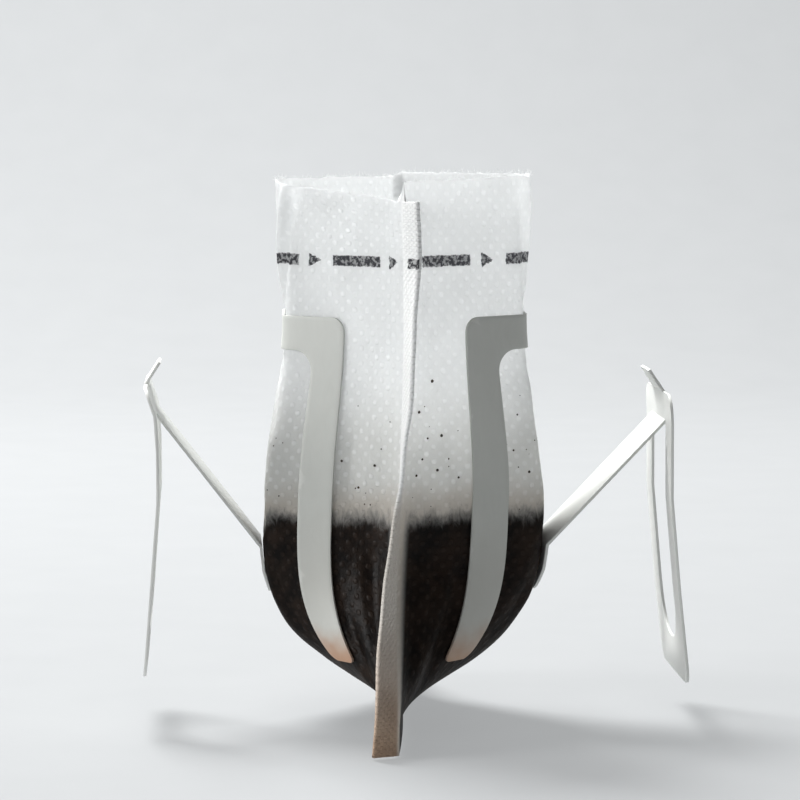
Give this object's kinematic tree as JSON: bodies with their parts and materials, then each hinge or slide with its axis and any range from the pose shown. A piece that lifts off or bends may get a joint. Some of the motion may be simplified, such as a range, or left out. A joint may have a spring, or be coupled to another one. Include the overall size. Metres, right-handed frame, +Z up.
{
  "type": "drip coffee bag",
  "caption": "Torn-open filter pouch of wet coffee grounds, held over a cup by two folded card ears with straps and card frames.",
  "frame": {"origin": "midway between the two ears, level with the top of the cup's rim that they hang on", "axes": "+Z up along the pouch, X from the left ear to the right ear, Y along the depth with the near side seam at -Y"},
  "size_m": [0.0878, 0.0721, 0.0887],
  "materials": {
    "filter_cloth": "matte",
    "wet_coffee": "wet",
    "white_card": "satin"
  },
  "bodies": {
    "root": {"filter_pouch": "filter_cloth", "coffee_grounds": "wet_coffee", "card_frame_left": "white_card", "card_frame_right": "white_card", "hanging_ear_left": "white_card", "hanging_ear_right": "white_card"}
  },
  "joints": []
}
